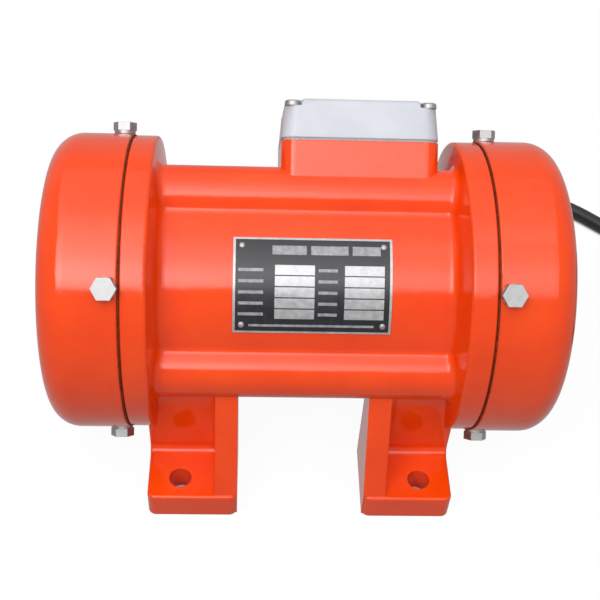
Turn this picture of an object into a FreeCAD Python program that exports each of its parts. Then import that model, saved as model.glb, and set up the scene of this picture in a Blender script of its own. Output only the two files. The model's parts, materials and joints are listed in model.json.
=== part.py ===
import FreeCAD, Part
import math
import os

# Vibration motor: a cast motor body with eccentric weights on both ends of its shaft.
# The shaft axis runs along X, the front is -Y, up is +Z and the feet stand on Z = 0.
# Everything but the cable is modelled about the shaft axis and lifted when it is exported.
# An angle about the shaft is measured from the front (-Y) upwards.

# Overall sizes, in millimetres
axis_height = 80.0
frame_length = 168.0
cover_depth = 37.7
cover_radius = 73.0
flange_radius = 72.3
barrel_radius = 52.0

# Cast body
bore_radius = 44.5
register_radius = 46.0
register_depth = 38.0
shield_seat_radius = 60.0
shield_seat_depth = 12.0
flange_rim = 11.7
flange_slope = 3.5
spigot_length = 12.0
cover_clearance = 0.2
rib_radius = 14.0
rib_centre = 50.3
panel_angle = 47.0
rib_spread = 55.0
rib_blend = 4.0
flange_blend = 4.0

# Feet
foot_gap = 63.0
foot_length = 44.5
foot_reach = 86.0
pad_thickness = 15.0
wall_inside = 46.0
wall_thickness = 10.0
gusset_thickness = 11.0
foot_blend = 4.0
foot_hole_radius = 5.5
hole_spacing_x = 120.0
hole_spacing_y = 148.0
pad_corner = 4.0
pad_edge = 1.5

# Terminal box, on the body at 45 degrees behind the top
box_angle = 135.0
box_centre_x = 24.5
box_length = 75.0
box_width = 76.0
box_top = 68.4
box_floor = 50.0
box_wall = 5.0
box_corner = 7.0
gasket_thickness = 1.2
lid_height = 18.5
lid_wall = 2.4
lid_draft = 1.6
lid_notch_radius = 5.6
lid_notch_depth = 3.4
lid_pillar_radius = 4.6
wire_hole_radius = 6.0
wire_hole_x = 46.0
earth_inset = 12.0

# End covers
cover_wall = 4.0
cover_edge = 14.0
seal_thickness = 0.8

# Fasteners
m6_radius = 3.0
m6_across_flats = 10.0
m6_head = 4.0
m6_washer = 1.6
m6_washer_radius = 5.2
m4_radius = 2.0
m4_head_radius = 3.8
hole_clearance = 0.3
thread_fit = 0.05
cover_screw_inset = 5.2
cover_screw_angles = (43.5, 133.5, 223.5, 313.5)

# Bearings, 20 x 47 x 14
bearing_bore = 10.0
bearing_outside = 23.5
bearing_width = 14.0
bearing_pitch = 16.75
bearing_inset = 11.0
ball_radius = 3.97
ball_count = 8
race_clearance = 0.05
inner_shoulder = 13.2
outer_shoulder = 20.4
cage_inside = 15.1
cage_outside = 18.4
cage_width = 10.8
pocket_clearance = 0.2

# Bearing shields
shield_thickness = 8.0
shield_hub_radius = 31.0
shield_lip = 4.0
shaft_clearance = 1.5
shield_screw_circle = 53.0
fit_gap = 0.02

# Stator and rotor
stack_length = 76.0
air_gap = 0.4
rotor_radius = 26.0
slot_count = 18
slot_depth = 11.0
slot_width = 4.4
slot_gap = 0.4
winding_length = 15.0
winding_inside = 30.0
end_ring_length = 7.0
end_ring_inside = 15.0
shaft_core_radius = 13.0
shaft_shoulder_radius = 12.0
shaft_end_radius = 9.0
shaft_end_gap = 3.0
shaft_chamfer = 1.0

# Eccentric weights
weight_thickness = 11.0
weight_radius = 56.5
weight_half_angle = 72.0
weight_hub_radius = 17.0
weight_gap = 1.0
weight_bore_gap = 0.04
weight_to_screws = 2.4
clamp_slit = 2.0
key_width = 5.0
key_height = 3.0
retaining_ring_thickness = 1.2
retaining_ring_radius = 12.0
spacer_radius = 11.5

# Nameplate
plate_length = 73.5
plate_arc = 45.0
plate_thickness = 0.6
plate_centre_x = 2.2
plate_inset = 4.0
plate_angle = 45.0
rivet_radius = 1.5
rivet_height = 0.8

# Cable gland and cable
gland_x = 24.5
gland_centre = 55.0
gland_boss_radius = 12.5
gland_boss_length = 8.0
gland_thread_radius = 9.9
gland_across_flats = 24.0
gland_collar = 5.0
gland_nut_length = 16.0
gland_nut_hex = 9.0
gland_nose_radius = 8.0
cable_diameter = 9.0
cable_gap = 0.2
cable_grip = 6.0
cable_straight = 34.0
coil_centre = (248.0, 52.0)
coil_pitch_radius = 47.0
core_radius = 1.3
core_length = 32.0
core_spread = 2.3
ferrule_radius = 0.9
ferrule_length = 8.0
core_count = 4

# Worked out from the sizes above
flange_face = frame_length / 2
rim_start = flange_face - flange_rim
seat_face = flange_face - shield_seat_depth
spigot_end = flange_face + spigot_length
spigot_radius = cover_radius - cover_wall - cover_clearance
cover_rim = flange_face + seal_thickness
cover_end = cover_rim + cover_depth
cover_screw_x = cover_rim + cover_screw_inset
bearing_start = seat_face - bearing_inset
bearing_end = bearing_start + bearing_width
shield_face = seat_face + shield_thickness
weight_start = shield_face + m6_washer + m6_head + weight_to_screws
outer_weight_start = weight_start + weight_thickness + weight_gap
ring_start = outer_weight_start + weight_thickness + weight_gap
shaft_end = cover_end - cover_wall - shaft_end_gap
panel_ribs = (panel_angle - rib_spread, panel_angle + rib_spread)
rib_angles = panel_ribs + tuple(angle + 180.0 for angle in panel_ribs)
foot_inner = foot_gap / 2
foot_outer = foot_inner + foot_length
slot_radius = rotor_radius + air_gap + slot_depth
winding_outside = min(slot_radius + 4.0, bore_radius - 2.0)
cable_radius = cable_diameter / 2
gland_face = box_width / 2 + gland_boss_length
cable_inside = gland_boss_length + box_wall + 3.0
gland_end = gland_face + gland_collar + gland_nut_length

# The cable's free route behind the body, over the floor and up to the coil, in the base's frame.
# Its first two points come from the gland, so these are the chosen ones after them.
cable_route = [
    (36.0, 131.0, 24.5),
    (60.0, 149.0, 9.0),
    (96.0, 158.0, 4.6),
    (139.0, 159.0, 4.6),
    (176.0, 147.5, 4.6),
    (206.0, 119.0, 4.6),
    (coil_centre[0], coil_centre[1] + coil_pitch_radius + cable_radius, 4.6),
]
# The free end leaves the coil's top layer on its right and comes down to the floor.
tail_route = [
    (coil_centre[0] + coil_pitch_radius + cable_radius, coil_centre[1], 13.6),
    (coil_centre[0] + coil_pitch_radius + cable_radius + 1.0, coil_centre[1] - 26.0, 13.2),
    (coil_centre[0] + coil_pitch_radius + cable_radius + 6.0, coil_centre[1] - 54.0, 6.2),
    (coil_centre[0] + coil_pitch_radius + cable_radius + 7.0, coil_centre[1] - 80.0, 4.6),
]

ORIGIN = FreeCAD.Vector(0, 0, 0)
ALONG_X = FreeCAD.Vector(1, 0, 0)
ALONG_Y = FreeCAD.Vector(0, 1, 0)
ALONG_Z = FreeCAD.Vector(0, 0, 1)
SIDES = (("left", -1), ("right", 1))


def around(x, radius, angle):
    """The point at this radius and angle about the shaft."""
    turn = math.radians(angle)
    return FreeCAD.Vector(x, -radius * math.cos(turn), radius * math.sin(turn))


def stood(shape, angle):
    """A shape built with +Z outwards, turned about the shaft to face this angle."""
    turned_shape = shape.copy()
    turned_shape.rotate(ORIGIN, ALONG_X, 90.0 - angle)
    return turned_shape


def sided(shape, side):
    """A shape built for the right end, or its mirror image for the left end."""
    return shape if side > 0 else shape.mirror(ORIGIN, ALONG_X)


def joined(shapes):
    """One solid from shapes that overlap or share faces."""
    whole = shapes[0].fuse(shapes[1:])
    return whole.removeSplitter()


def drum(radius, start, end):
    """A solid cylinder on the shaft axis."""
    return Part.makeCylinder(radius, end - start, FreeCAD.Vector(start, 0, 0), ALONG_X)


def pipe(outer, inner, start, end):
    """A round sleeve on the shaft axis."""
    return drum(outer, start, end).cut(drum(inner, start, end))


def outline(corners, place):
    """A closed wire through (a, b, corner radius) corners, set in space by place(a, b)."""
    count = len(corners)
    starts = []
    edges = []
    ends = []
    for index in range(count):
        corner = FreeCAD.Vector(corners[index][0], corners[index][1], 0)
        before = FreeCAD.Vector(*corners[index - 1][:2], 0) - corner
        after = FreeCAD.Vector(*corners[(index + 1) % count][:2], 0) - corner
        radius = corners[index][2]
        before.normalize()
        after.normalize()
        if radius == 0:
            starts.append(corner)
            ends.append(corner)
            continue
        half = before.getAngle(after) / 2
        middle = before + after
        middle.normalize()
        start = corner + before * (radius / math.tan(half))
        end = corner + after * (radius / math.tan(half))
        top = corner + middle * (radius / math.sin(half) - radius)
        starts.append(start)
        ends.append(end)
        edges.append(Part.Arc(*[place(p.x, p.y) for p in (start, top, end)]).toShape())
    for index in range(count):
        start = ends[index - 1]
        end = starts[index]
        if (end - start).Length > 1e-6:
            edges.append(Part.LineSegment(place(start.x, start.y), place(end.x, end.y)).toShape())
    return Part.Wire(Part.__sortEdges__(edges))


def turned(corners):
    """A solid of revolution about the shaft from (x, radius, corner radius) corners."""
    face = Part.Face(outline(corners, lambda a, b: FreeCAD.Vector(a, 0, b)))
    return face.revolve(ORIGIN, ALONG_X, 360)


def slab(corners, height, base=0.0):
    """A flat piece with a rounded outline in X and Y, thickened along +Z."""
    face = Part.Face(outline(corners, lambda a, b: FreeCAD.Vector(a, b, base)))
    return face.extrude(ALONG_Z * height)


def rectangle(x0, x1, y0, y1, radius):
    """Corners of a rounded rectangle for outline or slab."""
    return [(x0, y0, radius), (x1, y0, radius), (x1, y1, radius), (x0, y1, radius)]


def hexagon(across_flats, height):
    """A hexagonal prism on Z with its top corners turned off."""
    points = []
    for index in range(7):
        turn = math.radians(60 * index)
        points.append(FreeCAD.Vector(math.cos(turn), math.sin(turn), 0) * (across_flats / math.sqrt(3)))
    prism = Part.Face(Part.makePolygon(points)).extrude(ALONG_Z * height)
    point_height = height + across_flats * 0.3
    corner_cut = Part.makeCone(across_flats * 0.5 + point_height, across_flats * 0.48, point_height - 0.25)
    return prism.common(corner_cut.fuse(Part.makeCylinder(across_flats * 0.48, point_height)))


def hex_screw(length):
    """An M6 hex screw with the underside of its head at Z = 0 and its shank below."""
    head = hexagon(m6_across_flats, m6_head)
    shank = Part.makeCylinder(m6_radius - thread_fit, length, FreeCAD.Vector(0, 0, -length))
    return joined([head, shank])


def pan_screw(head_height, length):
    """An M4 pan head screw with the underside of its head at Z = 0."""
    head = Part.makeCylinder(m4_head_radius, head_height)
    head = head.makeFillet(head_height * 0.4, [head.Edges[0]])
    drive = Part.makeBox(6.0, 0.9, 1.2, FreeCAD.Vector(-3.0, -0.45, head_height - 0.9))
    cross = drive.copy()
    cross.rotate(ORIGIN, ALONG_Z, 90)
    shank = Part.makeCylinder(m4_radius - thread_fit, length, FreeCAD.Vector(0, 0, -length))
    return joined([head.cut(drive).cut(cross), shank])


def split_washer(outer, inner, thickness):
    """A spring washer, which is a ring with one narrow cut."""
    ring = Part.makeCylinder(outer, thickness).cut(Part.makeCylinder(inner, thickness))
    return ring.cut(Part.makeBox(outer, 0.8, thickness, FreeCAD.Vector(0, -0.4, 0)))


def straight_edges_where(shape, test):
    """Edges along X whose middle passes the test."""
    found = []
    for edge in shape.Edges:
        ends = [vertex.Point for vertex in edge.Vertexes]
        if len(ends) == 2 and abs((ends[1] - ends[0]).normalize().x) > 0.999 and test(edge.CenterOfMass):
            found.append(edge)
    return found


# ---------------------------------------------------------------- the cast body

def ribbed_barrel():
    """The barrel with its four round ribs, blended where they meet."""
    half = rim_start + flange_rim / 2
    barrel = drum(barrel_radius, -half, half)
    ribs = []
    for angle in rib_angles:
        centre = around(-half, rib_centre, angle)
        ribs.append(Part.makeCylinder(rib_radius, 2 * half, centre, ALONG_X))
    body = joined([barrel] + ribs)
    valleys = straight_edges_where(body, lambda p: abs(math.hypot(p.y, p.z) - barrel_radius) < 0.5)
    return body.makeFillet(rib_blend, valleys)


def flange():
    """The right flange, with its inner face sloping back to the barrel, and the cover's spigot."""
    return turned([
        (rim_start - flange_slope, barrel_radius - 4.0, 0),
        (rim_start - flange_slope, barrel_radius, 0),
        (rim_start, flange_radius, 1.8),
        (flange_face, flange_radius, 0.8),
        (flange_face, spigot_radius, 0),
        (spigot_end, spigot_radius, 1.0),
        (spigot_end, barrel_radius - 4.0, 0),
    ])


def foot(front_or_back):
    """The right foot at the front (-1) or the back (+1): pad, wall and sloping gusset."""
    rib = around(0, rib_centre, panel_ribs[0] if front_or_back < 0 else panel_ribs[0] + 180.0)
    corners = rectangle(foot_inner, foot_outer, wall_inside, foot_reach, pad_corner)
    corners[0] = corners[0][:2] + (0,)
    corners[1] = corners[1][:2] + (0,)
    pad = slab(corners, pad_thickness, -axis_height)
    top_edges = [e for e in pad.Edges if abs(e.CenterOfMass.z - pad_thickness + axis_height) < 0.01
                 and e.CenterOfMass.y > wall_inside + 0.01]
    pad = pad.makeFillet(pad_edge, top_edges)
    wall_top = rib.z - rib_radius * 0.25
    wall = Part.makeBox(foot_length, wall_thickness, wall_top + axis_height,
                        FreeCAD.Vector(foot_inner, wall_inside, -axis_height))
    shoulder = math.radians(35.0)
    rib_y = abs(rib.y) + rib_radius * math.cos(shoulder)
    rib_z = rib.z - rib_radius * math.sin(shoulder)
    web_face = Part.Face(outline(
        [(wall_inside, -axis_height, 0), (foot_reach - pad_edge, -axis_height, 0),
         (foot_reach - pad_edge, pad_thickness - axis_height, 6.0),
         (rib_y, rib_z, 0), (rib_y - 8.0, rib_z + 5.0, 0), (wall_inside, rib_z + 5.0, 0)],
        lambda a, b: FreeCAD.Vector(foot_inner, a, b)))
    web = web_face.extrude(ALONG_X * gusset_thickness)
    whole = joined([pad, wall, web])
    inside = [e for e in whole.Edges if is_inner_corner(e)]
    whole = whole.makeFillet(foot_blend, inside)
    return whole if front_or_back > 0 else whole.mirror(ORIGIN, ALONG_Y)


def is_inner_corner(edge):
    """True for the two hollow corners where the foot's wall meets its pad and its gusset."""
    middle = edge.CenterOfMass
    on_pad = abs(middle.z - pad_thickness + axis_height) < 0.01
    on_wall = abs(middle.y - wall_inside - wall_thickness) < 0.01
    on_web = abs(middle.x - foot_inner - gusset_thickness) < 0.01
    return on_wall and (on_pad or on_web)


def box_base():
    """The open base of the terminal box with the boss that the cable gland screws into."""
    x0 = box_centre_x - box_length / 2
    x1 = box_centre_x + box_length / 2
    block = slab(rectangle(x0, x1, -box_width / 2, box_width / 2, box_corner),
                 box_top - bore_radius * 0.6, bore_radius * 0.6)
    boss = Part.makeCylinder(gland_boss_radius, gland_boss_length + 16.0,
                             FreeCAD.Vector(gland_x, gland_face, gland_centre), ALONG_Y * -1)
    return stood(joined([block, boss]), box_angle)


def box_cavity():
    """The room inside the box base, its wire hole, its screw holes and the gland's hole."""
    x0 = box_centre_x - box_length / 2 + box_wall
    x1 = box_centre_x + box_length / 2 - box_wall
    half = box_width / 2 - box_wall
    room = slab(rectangle(x0, x1, -half, half, box_corner - 2.0), box_top - box_floor + 1.0, box_floor)
    for x, y in lid_screw_places():
        pillar = Part.makeCylinder(lid_pillar_radius, box_top, FreeCAD.Vector(x, y, 0))
        room = room.cut(pillar)
    wire_hole = Part.makeCylinder(wire_hole_radius, box_top, FreeCAD.Vector(wire_hole_x, 0, 0))
    gland_hole = Part.makeCylinder(gland_thread_radius + thread_fit, box_wall + gland_boss_length + 8.0,
                                   FreeCAD.Vector(gland_x, gland_face, gland_centre), ALONG_Y * -1)
    holes = [Part.makeCylinder(m4_radius, 10.0, FreeCAD.Vector(x, y, box_top - 10.0))
             for x, y in lid_screw_places()]
    earth_x, earth_y = earth_place()
    holes.append(Part.makeCylinder(m4_radius, 4.0, FreeCAD.Vector(earth_x, earth_y, box_floor - 4.0)))
    return stood(room.fuse([wire_hole, gland_hole] + holes), box_angle)


def lid_screw_places():
    """X and Y, in the box's frame, of the lid's four corner screws."""
    inset = lid_pillar_radius + 0.6
    places = []
    for x in (box_centre_x - box_length / 2 + inset, box_centre_x + box_length / 2 - inset):
        for y in (-box_width / 2 + inset, box_width / 2 - inset):
            places.append((x, y))
    return places


def earth_place():
    """X and Y, in the box's frame, of the earth screw on the box's floor."""
    return box_centre_x - box_length / 2 + earth_inset, earth_inset


def body_bores():
    """What is machined inside the casting: the stator bore, registers and shield seats."""
    tools = [drum(bore_radius, -register_depth - 8.0, register_depth + 8.0)]
    for name, side in SIDES:
        tools.append(sided(drum(register_radius, register_depth, seat_face + 1.0), side))
        tools.append(sided(drum(shield_seat_radius, seat_face, spigot_end + 1.0), side))
        for angle in cover_screw_angles:
            hole = Part.makeCylinder(m6_radius, spigot_radius, FreeCAD.Vector(side * cover_screw_x, 0, 1))
            tools.append(stood(hole, angle))
        for angle in rib_angles:
            depth = 18.0
            centre = around(seat_face - depth, shield_screw_circle, angle)
            tools.append(sided(Part.makeCylinder(m6_radius, depth + 1.0, centre, ALONG_X), side))
    return tools


def foot_holes():
    """Four holes for the bolts that hold the motor to the machine it shakes."""
    tools = []
    for x in (-hole_spacing_x / 2, hole_spacing_x / 2):
        for y in (-hole_spacing_y / 2, hole_spacing_y / 2):
            start = FreeCAD.Vector(x, y, -axis_height - 1)
            tools.append(Part.makeCylinder(foot_hole_radius, pad_thickness + 2, start))
    return tools


def blended_core():
    """Barrel, ribs and flanges, with a cast fillet where they meet the flanges' sloping faces."""
    core = joined([ribbed_barrel()] + [sided(flange(), side) for name, side in SIDES])
    reach = rib_centre + rib_radius + 1.0
    corners = []
    for face in core.Faces:
        if face.Surface.TypeId != "Part::GeomCone":
            continue
        for edge in face.Edges:
            if all(math.hypot(vertex.Y, vertex.Z) < reach for vertex in edge.Vertexes):
                corners.append(edge)
    return core.makeFillet(flange_blend, corners)


def motor_body():
    """The whole casting."""
    core = blended_core()
    feet = [sided(foot(end), side) for name, side in SIDES for end in (-1, 1)]
    casting = joined([core] + feet + [box_base()])
    casting = casting.cut(body_bores() + foot_holes() + [box_cavity()])
    return casting


# ---------------------------------------------------------------- end covers

def end_cover():
    """The right end cover: a deep drum with a rounded edge, open towards the body."""
    inner = cover_radius - cover_wall
    cover = turned([
        (cover_rim, inner, 0),
        (cover_rim, cover_radius, 0.8),
        (cover_end, cover_radius, cover_edge),
        (cover_end, 0, 0),
        (cover_end - cover_wall, 0, 0),
        (cover_end - cover_wall, inner, cover_edge - cover_wall),
    ])
    holes = []
    for angle in cover_screw_angles:
        hole = Part.makeCylinder(m6_radius + hole_clearance, cover_radius, FreeCAD.Vector(cover_screw_x, 0, 1))
        holes.append(stood(hole, angle))
    return cover.cut(holes)


def cover_seal():
    """The flat rubber ring between the flange and the cover's rim."""
    return pipe(cover_radius - 0.4, spigot_radius + cover_clearance / 2, flange_face, cover_rim)


def cover_screws(with_washers):
    """The right cover's four radial screws, or the spring washers under their heads."""
    pieces = []
    for angle in cover_screw_angles:
        if with_washers:
            piece = split_washer(m6_washer_radius, m6_radius + 0.1, m6_washer)
            lift = cover_radius
        else:
            piece = hex_screw(m6_washer + cover_wall + 8.0)
            lift = cover_radius + m6_washer
        piece.translate(FreeCAD.Vector(cover_screw_x, 0, lift))
        pieces.append(stood(piece, angle))
    return Part.makeCompound(pieces)


# ---------------------------------------------------------------- bearings and shields

def bearing_shield():
    """The right bearing shield: a register in the bore, a disc on the seat and the bearing's hub."""
    gap = fit_gap
    shield = turned([
        (bearing_start - 1.0, bearing_outside + gap, 0),
        (bearing_start - 1.0, shield_hub_radius, 2.0),
        (seat_face - 6.0, shield_hub_radius + 2.0, 4.0),
        (seat_face - 6.0, register_radius - gap, 1.0),
        (seat_face, register_radius - gap, 0),
        (seat_face, shield_seat_radius - gap, 0),
        (shield_face, shield_seat_radius - gap, 1.5),
        (shield_face, shaft_shoulder_radius + shaft_clearance, 0.5),
        (bearing_end, shaft_shoulder_radius + shaft_clearance, 0),
        (bearing_end, bearing_outside + gap, 0),
    ])
    holes = []
    for angle in rib_angles:
        centre = around(seat_face - 1, shield_screw_circle, angle)
        holes.append(Part.makeCylinder(m6_radius + hole_clearance, shield_thickness + 2, centre, ALONG_X))
    return shield.cut(holes)


def shield_screws():
    """The four screws that hold the right bearing shield."""
    pieces = []
    for angle in rib_angles:
        screw = hex_screw(shield_thickness + 12.0)
        screw.rotate(ORIGIN, ALONG_Y, 90)
        screw.translate(around(shield_face, shield_screw_circle, angle))
        pieces.append(screw)
    return Part.makeCompound(pieces)


def race(inside, outside):
    """A bearing ring with its ball groove, from one radius to another."""
    ring = turned([
        (bearing_start, inside, 0.5),
        (bearing_start, outside, 0.5),
        (bearing_end, outside, 0.5),
        (bearing_end, inside, 0.5),
    ])
    groove = Part.makeTorus(bearing_pitch, ball_radius + race_clearance,
                            FreeCAD.Vector((bearing_start + bearing_end) / 2, 0, 0), ALONG_X)
    return ring.cut(groove)


def ball_places():
    """Centres of the right bearing's balls."""
    middle = (bearing_start + bearing_end) / 2
    return [around(middle, bearing_pitch, 360.0 * index / ball_count) for index in range(ball_count)]


def bearing_balls():
    """The balls of the right bearing."""
    return Part.makeCompound([Part.makeSphere(ball_radius, centre) for centre in ball_places()])


def bearing_cage():
    """The ring that spaces the balls, with a round pocket through it for each."""
    middle = (bearing_start + bearing_end) / 2
    cage = pipe(cage_outside, cage_inside, middle - cage_width / 2, middle + cage_width / 2)
    pockets = []
    for centre in ball_places():
        outwards = FreeCAD.Vector(0, centre.y, centre.z).normalize()
        start = FreeCAD.Vector(middle, 0, 0) + outwards * (cage_inside - 3)
        pockets.append(Part.makeCylinder(ball_radius + pocket_clearance, 8.0, start, outwards))
    return cage.cut(pockets)


# ---------------------------------------------------------------- stator and rotor

def stator_slots(clearance):
    """The slots of the stator, or with a clearance the winding's bars inside them."""
    half = stack_length / 2 + (1.0 if clearance == 0 else winding_length / 2)
    base = rotor_radius + air_gap + (0.0 if clearance == 0 else 3.0)
    top = slot_radius - clearance
    width = slot_width - 2 * clearance
    shapes = []
    for index in range(slot_count):
        box = Part.makeBox(2 * half, width, top - base + (2.0 if clearance == 0 else 0.0),
                           FreeCAD.Vector(-half, -width / 2, base - (2.0 if clearance == 0 else 0.0)))
        shapes.append(stood(box, 360.0 * (index + 0.5) / slot_count))
    return shapes


def stator_core():
    """The stack of stator plates, pressed into the barrel, with a ring of open slots."""
    half = stack_length / 2
    stack = pipe(bore_radius - fit_gap, rotor_radius + air_gap, -half, half)
    return stack.cut(stator_slots(0))


def stator_winding():
    """Copper bars in the slots, and the bundle of end turns at each end."""
    half = stack_length / 2
    bundles = []
    for name, side in SIDES:
        bundle = turned([
            (half + 1.5, winding_inside, 2.0),
            (half + 1.5, winding_outside, 2.0),
            (half + winding_length, winding_outside, 4.0),
            (half + winding_length, winding_inside, 4.0),
        ])
        bundles.append(sided(bundle, side))
    return joined(bundles + stator_slots(slot_gap))


def rotor_core():
    """The stack of rotor plates on the shaft."""
    half = stack_length / 2
    return pipe(rotor_radius, shaft_core_radius + fit_gap, -half, half)


def rotor_end_rings():
    """The two cast rings that close the rotor's cage."""
    half = stack_length / 2
    ring = turned([
        (half, end_ring_inside, 0),
        (half, rotor_radius - 1.0, 0),
        (half + end_ring_length, rotor_radius - 2.0, 1.5),
        (half + end_ring_length, end_ring_inside, 1.5),
    ])
    return Part.makeCompound([sided(ring, side) for name, side in SIDES])


def keyway(gap):
    """The room of the right end's key, which sits half in the shaft, on its top."""
    start = weight_start + 0.5
    length = ring_start - start - 1.0
    return Part.makeBox(length, key_width + 2 * gap, key_height * 2 + gap,
                        FreeCAD.Vector(start, -key_width / 2 - gap, shaft_end_radius - key_height))


def rotor_shaft():
    """The stepped shaft, with bearing seats, weight seats, keyways and ring grooves."""
    half = stack_length / 2
    right = [
        (half + 2.0, shaft_core_radius, 0),
        (half + 2.0, shaft_shoulder_radius, 0),
        (bearing_start, shaft_shoulder_radius, 0),
        (bearing_start, bearing_bore - fit_gap, 0),
        (weight_start, bearing_bore - fit_gap, 0),
        (weight_start, shaft_end_radius, 0),
        (ring_start, shaft_end_radius, 0),
        (ring_start, shaft_end_radius - 0.8, 0),
        (ring_start + retaining_ring_thickness, shaft_end_radius - 0.8, 0),
        (ring_start + retaining_ring_thickness, shaft_end_radius, 0),
        (shaft_end, shaft_end_radius, shaft_chamfer),
        (shaft_end, 0, 0),
    ]
    left = [(-x, radius, corner) for x, radius, corner in reversed(right)]
    shaft = turned(left + right)
    return shaft.cut([sided(keyway(0), side) for name, side in SIDES])


def shaft_key():
    """The right end's key, which the fixed weight turns with."""
    key = keyway(0)
    gap = fit_gap
    box = key.BoundBox
    return Part.makeBox(weight_thickness - 1.0, box.YLength - 2 * gap, key_height * 1.6,
                        FreeCAD.Vector(box.XMin + gap, box.YMin + gap, box.ZMin + gap))


def spacer_sleeve():
    """The sleeve that sets the fixed weight off from the right bearing's inner ring."""
    return pipe(spacer_radius, bearing_bore + fit_gap, bearing_end, weight_start)


def retaining_ring():
    """The open ring in the shaft's groove that keeps the right end's weights on."""
    ring = pipe(retaining_ring_radius, shaft_end_radius - 0.8 + fit_gap,
                ring_start + fit_gap, ring_start + retaining_ring_thickness - fit_gap)
    gap = Part.makeBox(4.0, 5.0, retaining_ring_radius, FreeCAD.Vector(ring_start - 1, -2.5, 4.0))
    return ring.cut(gap)


# ---------------------------------------------------------------- eccentric weights

def weight_blank(start):
    """A sector of plate that hangs below its hub, from this X on."""
    end = start + weight_thickness
    hub = pipe(weight_hub_radius, shaft_end_radius + weight_bore_gap, start, end)
    turn = math.radians(weight_half_angle)
    side_y = weight_radius * math.sin(turn)
    side_z = -weight_radius * math.cos(turn)
    left = FreeCAD.Vector(start, -side_y, side_z)
    right = FreeCAD.Vector(start, side_y, side_z)
    edge = Part.Arc(left, FreeCAD.Vector(start, 0, -weight_radius), right).toShape()
    neck_left = FreeCAD.Vector(start, -weight_hub_radius * 0.9, -weight_hub_radius * 0.3)
    neck_right = FreeCAD.Vector(start, weight_hub_radius * 0.9, -weight_hub_radius * 0.3)
    lines = [Part.LineSegment(right, neck_right).toShape(),
             Part.LineSegment(neck_right, neck_left).toShape(),
             Part.LineSegment(neck_left, left).toShape()]
    sector = Part.Face(Part.Wire([edge] + lines)).extrude(ALONG_X * weight_thickness)
    bore = drum(shaft_end_radius + weight_bore_gap, start - 1, end + 1)
    return joined([hub, sector]).cut(bore)


def fixed_weight():
    """The right end's inner weight, keyed to the shaft."""
    return weight_blank(weight_start).cut(keyway(weight_bore_gap))


def clamp_place(start):
    """X and Z of the clamp screw across the top of the adjustable weight's hub."""
    return start + weight_thickness / 2, weight_hub_radius + 1.5


def adjustable_weight():
    """The right end's outer weight: its hub is slit and clamped by one cross screw."""
    start = outer_weight_start
    x, z = clamp_place(start)
    ear = Part.makeBox(weight_thickness, 22.0, 15.0,
                       FreeCAD.Vector(start, -11.0, z - 8.0))
    ear = ear.makeFillet(3.0, [e for e in ear.Edges
                               if abs(e.CenterOfMass.z - z - 7.0) < 0.01 and abs(e.CenterOfMass.y) > 10.9])
    bore = drum(shaft_end_radius + weight_bore_gap, start - 1, start + weight_thickness + 1)
    slit = Part.makeBox(weight_thickness + 2, clamp_slit, 40.0,
                        FreeCAD.Vector(start - 1, -clamp_slit / 2, shaft_end_radius - 2))
    screw_hole = Part.makeCylinder(m6_radius + thread_fit, 30.0, FreeCAD.Vector(x, -15.0, z), ALONG_Y)
    return joined([weight_blank(start), ear]).cut([bore, slit, screw_hole])


def clamp_screw():
    """The screw that pinches the adjustable weight onto the shaft."""
    x, z = clamp_place(outer_weight_start)
    screw = hex_screw(20.0)
    screw.rotate(ORIGIN, ALONG_X, 90)
    screw.translate(FreeCAD.Vector(x, -11.0, z))
    return screw


# ---------------------------------------------------------------- terminal box

def lid_shell(inset, base, height):
    """A rounded block that narrows upwards by the lid's draft, for the lid or its inside."""
    x0 = box_centre_x - box_length / 2 + inset
    x1 = box_centre_x + box_length / 2 - inset
    half = box_width / 2 - inset
    corner = max(box_corner - inset, 2.0)
    draft = lid_draft * height / lid_height
    wires = []
    for z, pull in ((base, 0.0), (base + height, draft)):
        corners = rectangle(x0 + pull, x1 - pull, -half + pull, half - pull, corner)
        wires.append(outline(corners, lambda a, b, z=z: FreeCAD.Vector(a, b, z)))
    return Part.makeLoft(wires, True, True)


def terminal_box_lid():
    """The moulded lid: a thin shell with a notch at each corner for its screw."""
    base = box_top + gasket_thickness
    outer = lid_shell(0.0, base, lid_height)
    rim = [e for e in outer.Edges if abs(e.BoundBox.ZMin - base - lid_height) < 0.01]
    outer = outer.makeFillet(3.0, rim)
    inner = lid_shell(lid_wall, base, lid_height - lid_wall)
    notch_floor = base + lid_height - lid_notch_depth
    notches = []
    sleeves = []
    for x, y in lid_screw_places():
        notches.append(Part.makeCylinder(lid_notch_radius, lid_notch_depth + 1, FreeCAD.Vector(x, y, notch_floor)))
        sleeve = Part.makeCylinder(lid_notch_radius + lid_wall, lid_height, FreeCAD.Vector(x, y, base))
        sleeves.append(sleeve)
    lid = outer.cut(inner.cut(sleeves))
    holes = [Part.makeCylinder(m4_radius + hole_clearance, lid_height, FreeCAD.Vector(x, y, base - 1))
             for x, y in lid_screw_places()]
    return stood(lid.cut(notches + holes), box_angle)


def lid_gasket():
    """The flat rubber frame under the lid."""
    x0 = box_centre_x - box_length / 2 + 0.5
    x1 = box_centre_x + box_length / 2 - 0.5
    half = box_width / 2 - 0.5
    frame = slab(rectangle(x0, x1, -half, half, box_corner - 0.5), gasket_thickness, box_top)
    inset = box_wall - 0.5
    inner = slab(rectangle(x0 + inset, x1 - inset, -half + inset, half - inset, 4.0), gasket_thickness, box_top)
    holes = []
    for x, y in lid_screw_places():
        pad = Part.makeCylinder(lid_pillar_radius, gasket_thickness, FreeCAD.Vector(x, y, box_top))
        inner = inner.cut(pad)
        holes.append(Part.makeCylinder(m4_radius + hole_clearance, gasket_thickness, FreeCAD.Vector(x, y, box_top)))
    return stood(frame.cut([inner] + holes), box_angle)


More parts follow.
